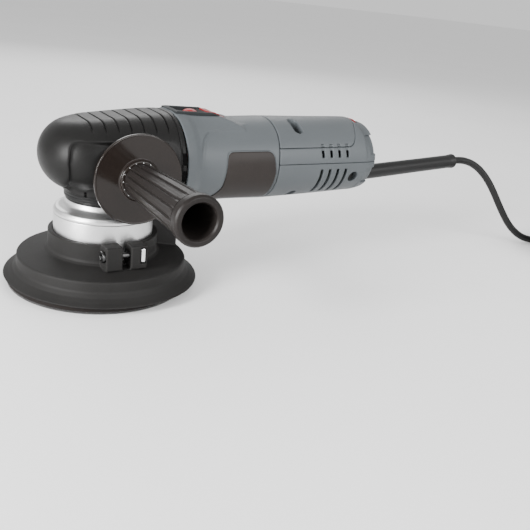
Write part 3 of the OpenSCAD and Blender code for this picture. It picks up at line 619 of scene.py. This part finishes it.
def build_pad():
    low, high = node_box("pad_foam")
    middle = ((low[0] + high[0]) / 2, 0, 0)
    radius = (high[0] - low[0]) / 2
    top = high[2]
    foam = [(0, 2.05, 0), (radius - 0.8, 2.05, 0.8), (radius, 3.2, 1.6), (radius - 0.2, 5.4, 1.4),
            (radius - 7.5, top, 2.5), (0, top, 0)]
    made = revolve("foam_pad", rounded(foam), "foam", "pad", ["pad_foam"], middle, segments=180)
    face = [(0, 0, 0), (radius - 1.2, 0, 0.5), (radius - 0.5, 0.9, 0.5), (radius - 0.8, 2, 0.4),
            (0, 2, 0)]
    revolve("hook_sheet", rounded(face), "hook", "pad", ["hook_face"], middle, segments=180)


# ---------- side handle ----------

FLUTES = 15
GUARD_COLLAR_R = 16.2
STUD_BORE_R = 5.1
# Length of the far end of the grip that has no grooves
PLAIN_END = 12.5


def build_handle():
    """Guard disc with its raised collar, the fluted grip, and the pips on the collar."""
    out = (0, -1, 0)
    origin = (HANDLE_X, 0, HANDLE_Z)
    radius = (guard_high[0] - guard_low[0]) / 2
    inner, outer, collar = -guard_high[1], -guard_high[1] + 3, -guard_low[1]
    guard = [(5.3, inner, 0), (radius - 0.6, inner, 0.5), (radius, inner + 0.6, 0.5),
             (radius, outer - 0.4, 0.8), (radius - 1.0, outer, 0.5), (radius - 1.5, outer - 0.25, 0.4),
             (GUARD_COLLAR_R + 1.2, outer - 0.25, 0.8), (GUARD_COLLAR_R, outer + 0.5, 0.6),
             (GUARD_COLLAR_R, collar - 0.1, 1.9), (13.6, collar, 0.4), (5.3, collar, 0)]
    revolve("guard_disc", rounded(guard, 5), "gloss", "housing", ["handle_guard"], origin, out, 180)
    base, end = -grip_high[1], -grip_low[1]

    def fluted(angle, r, h):
        """Narrow grooves between wide lands that sink a little in the middle."""
        phase = (angle * FLUTES / (2 * math.pi)) % 1
        if r < 13.9 or h > end - PLAIN_END or h < base + 0.5:
            return r
        fade = min(1, (h - base - 0.5) / 5, (end - PLAIN_END - h) / 3)
        groove = max(0, 1 - (abs(phase - 0.5) / 0.15) ** 2)
        rib = max(0, 1 - (abs(abs(phase - 0.5) - 0.21) / 0.06) ** 2)
        return r - max(0, fade) * (0.25 + 1.1 * groove - 0.2 * rib)

    run = [(14.0 + 3.2 * t + 0.2 * math.sin(math.pi * t), base + 0.5 + (end - base - 11.5) * t)
           for t in (i / 24 for i in range(25))]
    flange = rounded([(17.0, end - 11, 0), (17.3, end - 9.4, 1.5), (18.7, end - 7.6, 1.4),
                      (18.8, end - 2, 1.8), (17.2, end, 1.6), (14.2, end, 1.0), (13.0, end - 1.8, 1),
                      (12.6, end - 60, 0), (STUD_BORE_R, end - 60, 0), (STUD_BORE_R, base, 0),
                      (13.6, base, 0)], 5)
    outline = [tuple(p) for p in run] + [tuple(p) for p in flange]
    revolve("fluted_grip", outline, "grip", "housing", ["handle_grip"], origin, out, FLUTES * 16, fluted)

    ring_r, pip_r, reach = 14.7, 0.55, 17
    pips = []
    for k in range(FLUTES):
        angle = 2 * math.pi * (k + 0.5) / FLUTES
        pips.append((HANDLE_X + ring_r * math.cos(angle), HANDLE_Z + ring_r * math.sin(angle)))

    def dots(x, y, z):
        """Ring of small polished pips on the collar, one at the root of each groove."""
        best = np.inf
        for a, b in pips:
            best = np.minimum(best, np.sqrt((x - a) ** 2 + (z - b) ** 2 + (y + collar) ** 2) - pip_r)
        return best

    carve("collar_pips", dots, (HANDLE_X - reach, -collar - 1, HANDLE_Z - reach),
          (HANDLE_X + reach, -collar + 1, HANDLE_Z + reach), 0.3, "steel", "housing", [])


# ---------- motor housing and switch ----------

# Side outlines (x, z) of the bezel's raised top and of the grey shoulder round it
PLATFORM = [(FRONT_X - 4, 136), (FRONT_X - 4, 149.6), (58, 150.1), (90, 149), (99, 146.2), (108, 142.4),
            (116, 138)]
SHOULDER = [(FRONT_X - 4, 136), (FRONT_X - 4, 146.7), (96.8, 146.7), (99, 146.2), (108, 142.4),
            (116, 138)]
PLATFORM_HALF_W = 15
slide_low, slide_high = node_box("switch_grip")
SLIDE_W = slide_high[1]


def front_form(x, y, z, inset=0.0):
    """Motor housing: flared to the head, with a soft ridge that falls from the switch to the flank."""
    stations = (FRONT_X, 62, 70, 80, 108, SEAM_X)
    half_w = along(x, stations, (47, 45.2, 42.6, 42.9, 42.2, 42))
    half_h = along(x, stations, (42.6, 41.8, 40.0, 38.4, 37.1, 38))
    slant = ridge_x(z + 0.5) - ridge_x(z - 0.5)
    behind = (x - ridge_x(z)) / np.sqrt(1 + slant * slant)
    swell = 1.3 * ease(0.5 - behind / 2.6) + 0.35 * np.exp(-((behind - 1.9) / 1.1) ** 2)
    swell = swell * ease((z - 110) / 16)
    return oval(y, z - AXIS_Z, half_w, half_h) - swell + inset


def lean(z):
    """How far the joint lines and the grooves lean back near the top."""
    return 3.2 * ease((z - 110) / 34)


def ridge_x(z):
    """Where the soft ridge lies at a height: nearly upright on the flank, then swept back to the switch."""
    heights = (118, 128.6, 131.8, 134.2, 136, 137.3, 139.2, 141)
    return along(z, heights, (68.5, 71.2, 73.8, 76.9, 81.7, 92, 101, 110))


def motor_shell(x, y, z):
    """Front motor housing with its raised shoulder, the panels' rims and the pocket for the slide."""
    outer = front_form(x, y, z)
    ends = np.maximum(FRONT_X + 0.1 - x, x - (SEAM_X - 0.25) - lean(z))
    form = both_of(outer, ends, 1.4)
    side = (np.abs(y) - PLATFORM_HALF_W - 0.4 - 0.8 * np.maximum(146.7 - z, 0)) * 0.78
    raised = both_of(outline_gap(x, z, SHOULDER), side, 1.2)
    raised = both_of(raised, FRONT_X + 0.1 - x, 1)
    form = either(form, raised, 4)
    form = without(form, np.maximum(front_form(x, y, z, HOUSING_WALL), z - 141), 1)
    panel = panel_outline(x, z)
    rim = both_of(np.abs(panel) - 0.55, -outer - 0.55, 0.6)
    form = without(form, np.maximum(rim, 30 - np.abs(y)), 0.5)
    pocket = block(x, y, z, (57.5, -SLIDE_W - 0.4, 139), (104.8, SLIDE_W + 0.4, 170), 1.2)
    return without(form, pocket, 1)


def panel_outline(x, z):
    """Distance in side view to the blank panel's outline."""
    left = 92.4 + 0.08 * (z - 100) - 0.032 * np.maximum(92 - z, 0) ** 2 - x
    right = x - 144.3 + 0.2 * np.maximum(z - 102, 0)
    return both_of(both_of(left, right, 1), both_of(z - 121, 71 - z, 1), 6)


def side_panels(x, y, z):
    """Thin blank panel let into each flank, a little proud of it."""
    outer = front_form(x, y, z)
    skin = both_of(outer - 0.45, -outer - 1.2, 0.5)
    return np.maximum(both_of(skin, panel_outline(x, z) + 0.35, 0.6), 10 - np.abs(y))


def bezel(x, y, z):
    """Raised frame round the power slide."""
    lifted = [(a, b + 0.35) for a, b in PLATFORM]
    zone = block(x, y, z, (FRONT_X + 0.1, -PLATFORM_HALF_W, 146.6), (97, PLATFORM_HALF_W, 170), 0.8)
    form = both_of(outline_gap(x, z, lifted), zone, 1)
    return without(form, block(x, y, z, (59, -SLIDE_W - 0.4, 130), (110, SLIDE_W + 0.4, 170), 2), 0.6)


def slider(x, y, z):
    """Red slide: a domed front button, a low bridge, and the ramp at the rear."""
    base = block(x, y, z, (66, -SLIDE_W, 141.4), (104, SLIDE_W, 145.4), 0.8)
    button = np.sqrt(((x - 75.2) / 7.2) ** 2 + (y / 9.6) ** 2 + ((z - 145) / 5.2) ** 2)
    ramp = [(88.4, 142), (104, 142), (104.2, 143.3), (99, 147), (94, 149.2), (88.4, 149.7)]
    ramp = both_of(outline_gap(x, z, ramp), np.abs(y) - SLIDE_W, 1.6)
    dish = np.sqrt((x - 95) ** 2 / 5 + y * y / 6 + (z - 156.5) ** 2) - 7.6
    ramp = without(ramp, dish, 1.5)
    return either(either(base, (button - 1) * 5.5, 1), ramp, 1)


def slide_rod(x, y, z):
    """Rod that the slide pushes the switch with."""
    return either(block(x, y, z, (78, -4, 137.2), (84, 4, 141.3), 0.4),
                  block(x, y, z, (80, -3.8, 137.2), (200, 3.8, 139.2), 0.4), 0.4)


def thumb_rest(x, y, z):
    """Block on the slide with ridges across its top."""
    wave = 0.55 * np.cos(2 * math.pi * (x - 82.5) / 2.1)
    body = block(x, y, z, (81.4, -SLIDE_W, 145.4), (87.9, SLIDE_W, 149.6), 0.6)
    return both_of(body, z - 148.2 - wave, 0.5)


def build_front():
    carve("motor_housing_shell", motor_shell, front_low - 1, front_high + (4, 1, 1), 0.9, "grey", "housing",
          ["motor_housing"])
    low, high = node_box("label_panels")
    carve("blank_side_panels", side_panels, low - 1, high + 1, 0.8, "panel", "housing", ["label_panels"])
    low, high = node_box("switch_bezel")
    carve("slide_bezel", bezel, low - 1, high + 1, 0.5, "trim", "housing", ["switch_bezel"])
    low, high = node_box("switch_slider")
    carve("power_slide_red", slider, (low[0], low[1], 141), (106, high[1], high[2] + 0.5), 0.5, "red",
          "power_slide", ["switch_slider"])
    carve("power_slide_rod", slide_rod, low, (high[0], high[1], 142), 0.6, "black", "power_slide", [])
    carve("thumb_rest", thumb_rest, slide_low - 1, slide_high + 1, 0.4, "black", "power_slide",
          ["switch_grip"])


# ---------- rear housing ----------

PARTING_Z, COVER_Z = 108.5, 122.5
SEAM_GAP = 0.18
VENT_X, VENT_HALF_W = [196 + 9.6 * i for i in range(4)], 1.6
SIDE_HOLE_X, SIDE_HOLE_Z, SIDE_HOLE_R = 236.6, 94, 5.3
TOP_WELL_X = 174.3
EXIT_Z, SLEEVE_R, SLEEVE_ROOM = 86, 8, 0.2


def rear_form(x, y, z, inset=0.0):
    """Outside of the rear housing: it narrows to a collar, then to the closed tail."""
    stations = (SEAM_X, 200, 236, 247.5, 250.5, 260, TAIL_X)
    half_w = along(x, stations, (42, 41.6, 40.8, 40.4, 40.2, 38.2, 35.2))
    half_h = along(x, stations, (38, 37.2, 36.6, 36.3, 34.5, 33.6, 32.2))
    middle = AXIS_Z + along(x, stations, (0, 0.7, 1.5, 1.7, -0.1, 0.4, 1.8))
    return both_of(oval(y, z - middle, half_w, half_h) + inset, x - TAIL_X + inset, 2.2)


def tail_recess(x, y, z, outer):
    """Sunken fields on both sides of the tail, above and below its middle."""
    upper = outline_gap(x, z, [(255, 115.4), (253.8, 124), (252.2, 131.6), (270, 131.6), (270, 115.4)])
    upper = both_of(upper, -outer - 1.6, 0.6)
    lower = outline_gap(x, z, [(251, 86.6), (250.6, 102.3), (270, 102.3), (270, 86.6)])
    lower = both_of(lower, -outer - 1.6, 0.6)
    return np.maximum(np.minimum(upper, lower), 16 - np.abs(y))


def rear_shell(x, y, z):
    """Whole skin of the rear housing, with vents, screw holes, tail recesses and the cord's hole."""
    form = both_of(rear_form(x, y, z), SEAM_X + 0.25 + lean(z) - x, 1.4)
    outer = form
    side = np.abs(y)
    form = without(form, rear_form(x, y, z, HOUSING_WALL), 0.8)
    form = without(form, rod(y, z - AXIS_Z, x, 34, SEAM_X - 2, SEAM_X + 4), 0.8)
    form = without(form, tail_recess(x, y, z, outer), 0.7)
    for at in VENT_X:
        notch = block(x, side, z, (at - 1.9, 20, COVER_Z - 5), (at + 1.9, 60, COVER_Z + 3.2), 0.4)
        form = without(form, np.maximum(notch, -outer - 1.1), 0.4)
        low, high = (at - VENT_HALF_W, 20, 113.8), (at + VENT_HALF_W, 60, COVER_Z - 2.6)
        form = without(form, block(x, side, z, low, high, 0.4), 0.4)
        slanted = x - at - 0.05 * (103 - z)
        low, high = (-VENT_HALF_W, 14, 78), (VENT_HALF_W, 60, 103)
        form = without(form, block(slanted, side, z, low, high, 0.8), 0.8)
    hole_x, hole_z = x - SIDE_HOLE_X, z - SIDE_HOLE_Z
    tube = both_of(rod(hole_x, hole_z, side, SIDE_HOLE_R + 1.7, 22, 60), rear_form(x, y, z, 0.8), 0.8)
    form = either(form, tube, 0.8)
    form = without(form, rod(hole_x, hole_z, side, SIDE_HOLE_R, 23.5, 60), 0.6)
    return without(form, rod(y, z - EXIT_Z, x, SLEEVE_R + SLEEVE_ROOM, 250, 280), 0.8)


def screw_posts(x, y, z):
    """Posts round the screw wells, inside the skin."""
    return both_of(well(x, y, z, 13.5, 25, 6.9), rear_form(x, y, z, 0.8), 0.5)


def well(x, y, z, near, far, radius):
    """Slot-shaped well, from near to far out from the middle plane."""
    side = np.abs(y)
    return np.sqrt((x - TOP_WELL_X) ** 2 + (side - np.clip(side, near, far)) ** 2) - radius


def cover_zone(x, y, z):
    """Below zero where the top cover is; its rear corner is rounded and its end leans back."""
    end = x - along(z, (COVER_Z, 130, 137, 141, 144), (233.7, 236.8, 240.8, 244.5, 249.5))
    return both_of(COVER_Z - z + 0.006 * (x - SEAM_X), end, 8)


def lower_shell(x, y, z):
    """Lower half, with the block that holds the sleeve and the wells that the screws go up."""
    form = either(rear_shell(x, y, z), np.maximum(screw_posts(x, y, z), z - PARTING_Z), 0.8)
    holder = block(x, y, z, (TAIL_X - 12, -14, 60), (TAIL_X - 1, 14, 100))
    holder = both_of(holder, rear_form(x, y, z, 0.5))
    holder = without(holder, rod(y, z - EXIT_Z, x, SLEEVE_R + SLEEVE_ROOM, 240, 280))
    form = either(form, holder, 0.8)
    form = without(form, np.maximum(well(x, y, z, 20, 25, 4), z - 84), 0.8)
    return both_of(form, z - PARTING_Z + SEAM_GAP, 0.8)


def wheel_slot(x, y, z, top):
    """Room for the speed wheel, up to a height."""
    low, high = node_box("speed_dial")
    return block(x, y, z, (low[0] + 0.2, -4.8, 120), (high[0] - 0.2, 4.8, top), 1)


def upper_shell(x, y, z):
    """Part of the rear housing between the lower half and the top cover."""
    form = rear_shell(x, y, z)
    form = without(form, wheel_slot(x, y, z, 160), 0.8)
    form = both_of(form, PARTING_Z + SEAM_GAP - z, 0.8)
    return without(form, cover_zone(x, y, z) - SEAM_GAP, 0.8)


def cover_shell(x, y, z):
    """Top cover, with the two screw wells and the slot for the speed wheel."""
    form = either(rear_shell(x, y, z), np.maximum(screw_posts(x, y, z), 121 - z), 0.8)
    form = without(form, np.maximum(well(x, y, z, 13.5, 23.5, 4.9), 124 - z), 0.6)
    form = without(form, wheel_slot(x, y, z, 143.2), 0.4)
    return both_of(form, cover_zone(x, y, z) + SEAM_GAP, 0.8)


def speed_wheel(x, y, z):
    """Thin wheel with fine ribs round its rim."""
    ribs, rib_h = 36, 0.3
    low, high = node_box("speed_dial")
    middle = (low + high) / 2
    a, b = x - middle[0], z - middle[2]
    angle = np.arctan2(b, a)
    radius = (high[0] - low[0]) / 2 - 0.35 + rib_h * np.cos(angle * ribs)
    return both_of(np.sqrt(a * a + b * b) - radius, np.abs(y - middle[1]) - (high[1] - low[1]) / 2, 1)


def build_rear():
    low, high = np.array((SEAM_X, -44, 66)), np.array((TAIL_X, 44, 147))
    carve("rear_lower_shell", lower_shell, low, (high[0], high[1], PARTING_Z), 0.9, "grey", "housing",
          ["rear_lower_housing"])
    carve("rear_upper_shell", upper_shell, (low[0], low[1], PARTING_Z), high, 0.9, "grey", "housing",
          ["rear_upper_housing"])
    carve("rear_top_cover", cover_shell, (low[0], low[1], COVER_Z - 4), (252, high[1], high[2]), 0.9,
          "grey", "housing", ["top_cover"])
    low, high = node_box("speed_dial")
    carve("speed_wheel_red", speed_wheel, low, high, 0.4, "red", "speed_wheel", ["speed_dial"])


# ---------- sleeve and plug ----------

CORD_BORE_R = CORD_D / 2 + 0.05


def build_sleeve():
    """Long tapered sleeve round the lead, tilted up a little, with a thicker mouth."""
    rise = math.radians(4)
    start = np.array((TAIL_X, 0, EXIT_Z))
    axis = (math.cos(rise), 0, math.sin(rise))
    root, mouth = -8, 146
    tube = [(CORD_BORE_R, root, 0), (SLEEVE_R, root, 0), (SLEEVE_R, 0, 0.3), (7.7, 12, 0),
            (7.35, 90, 0), (7.3, mouth - 8, 2), (SLEEVE_R, mouth - 1.5, 0.8), (7.9, mouth, 0.6),
            (5.6, mouth, 1.2), (CORD_BORE_R, mouth - 6, 0.5)]
    revolve("cord_sleeve", rounded(tube), "lead", "housing", ["strain_relief"], start, axis, 96)


def plug(x, y, z):
    """Plug body with a waist for the fingers and a ribbed neck round the cord."""
    low, high = node_box("plug_body")
    y0, z0 = (low[1] + high[1]) / 2, (low[2] + high[2]) / 2
    neck_x = high[0] - 16
    body = block(x, y, z, low, (neck_x, high[1], high[2]), 3)
    waist = 1.2 * np.exp(-((x - low[0] - 17) / 5) ** 2)
    neck = rod(y - y0, z - z0, x, 5 + 1.5 * ease((neck_x + 4 - x) / 12), neck_x - 4, high[0], 0.8)
    ribs = 0.5 * np.cos(2 * math.pi * (x - neck_x) / 3.2)
    ribs = ribs * ease((x - neck_x) / 3) * ease((high[0] - 2 - x) / 2)
    form = either(body + waist, neck + np.maximum(ribs, 0), 2.5)
    return without(form, rod(y - y0, z - z0, x, CORD_BORE_R, high[0] - 8, high[0] + 4), 0.5)


def blades(x, y, z):
    """Two flat blades, each with a hole near its tip."""
    low, high = node_box("plug_blades")
    y0, z0 = (low[1] + high[1]) / 2, (low[2] + high[2]) / 2
    thick_half = 0.75
    gap = (high[1] - low[1]) / 2 - thick_half
    side = np.abs(y - y0)
    tip, root = (low[0], gap - thick_half, low[2]), (high[0] + 2, gap + thick_half, high[2])
    hole = rod(x - low[0] - 4, z - z0, side, 1.6, 0, 20, 0.3)
    return without(block(x, side, z, tip, root, 0.6), hole, 0.3)


def build_plug():
    low, high = node_box("plug_body")
    body = carve("plug_moulding", plug, low, high, 0.6, "lead", "housing", ["plug_body"])
    low, high = node_box("plug_blades")
    pins = carve("plug_pins", blades, low, high + (2, 0, 0), 0.35, "brass", "housing", ["plug_blades"])
    return body, pins


# ---------- carried-over CAD nodes ----------

INNER = {
    "cast": ["gear_housing"],
    "black": ["bearing_bridge", "cooling_fan", "pad_plate", "switch_body", "brush_holders",
              "housing_screws"],
    "steel": ["armature_core", "armature_shaft", "bevel_gear", "bevel_pinion", "counterweight",
              "field_stator", "pad_arbor", "spindle", "dial_pin", "handle_stud"],
    "bright": ["front_motor_bearing", "lower_spindle_bearing", "pad_bearing", "pad_stud",
               "rear_motor_bearing", "spindle_nut", "upper_spindle_bearing"],
    "copper": ["armature_windings", "commutator", "field_windings"],
    "carbon": ["carbon_brushes"],
    "board": ["speed_module", "speed_potentiometer"],
}


def finish_nodes():
    """Gives every inner CAD node its finish."""
    for kind, names in INNER.items():
        for name in names:
            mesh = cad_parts[name].data
            mesh.materials.clear()
            mesh.materials.append(FINISH[kind])


# ---------- floor and light ----------

def add_floor():
    """Plain pale floor, far wider than the view, a hair below the pad."""
    half = 30.0
    mesh = bpy.data.meshes.new("floor")
    corners = [(-half, -half, 0), (half, -half, 0), (half, half, 0), (-half, half, 0)]
    mesh.from_pydata(corners, [], [(0, 1, 2, 3)])
    paper = finish("floor_paper", grey(0.86), grey(0.83), 0.7, grain=600, bump=0.03, blotch=3)
    mesh.materials.append(paper)
    floor = bpy.data.objects.new("floor", mesh)
    floor.location.z = -0.0002
    bpy.context.scene.collection.objects.link(floor)


def add_light(name, place, target, size, power):
    """Soft rectangular light that faces a point."""
    data = bpy.data.lights.new(name, "AREA")
    data.shape = "RECTANGLE"
    data.size, data.size_y = size
    data.energy = power
    light = bpy.data.objects.new(name, data)
    light.location = place
    light.rotation_euler = (Vector(target) - Vector(place)).to_track_quat("-Z", "Y").to_euler()
    bpy.context.scene.collection.objects.link(light)


def add_lights():
    """White surroundings and four soft lights, the strongest from the left."""
    world = bpy.data.worlds.new("studio")
    world.use_nodes = True
    world.node_tree.nodes["Background"].inputs["Color"].default_value = (1, 1, 1, 1)
    world.node_tree.nodes["Background"].inputs["Strength"].default_value = 0.88
    bpy.context.scene.world = world
    middle = (0.1, 0, 0.1)
    add_light("overhead", (0.2, 0.1, 1.7), middle, (2.4, 1.6), 5)
    add_light("key", (-1.35, -0.42, 0.5), middle, (0.4, 0.8), 62)
    add_light("front_fill", (0.6, -1.6, 0.9), middle, (1.8, 0.9), 40)
    add_light("back_rim", (0.6, 1.5, 1.0), middle, (1.4, 0.6), 12)


add_camera()
mains_cord = add_cord(FINISH["lead"])
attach(mains_cord, "housing")
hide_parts("cord_lead", "cord_coil", "cord_tail")
finish_nodes()
build_head()
build_hub()
build_shroud()
build_pad()
build_handle()
build_front()
build_rear()
build_sleeve()
plug_pieces = build_plug()
add_floor()
add_lights()
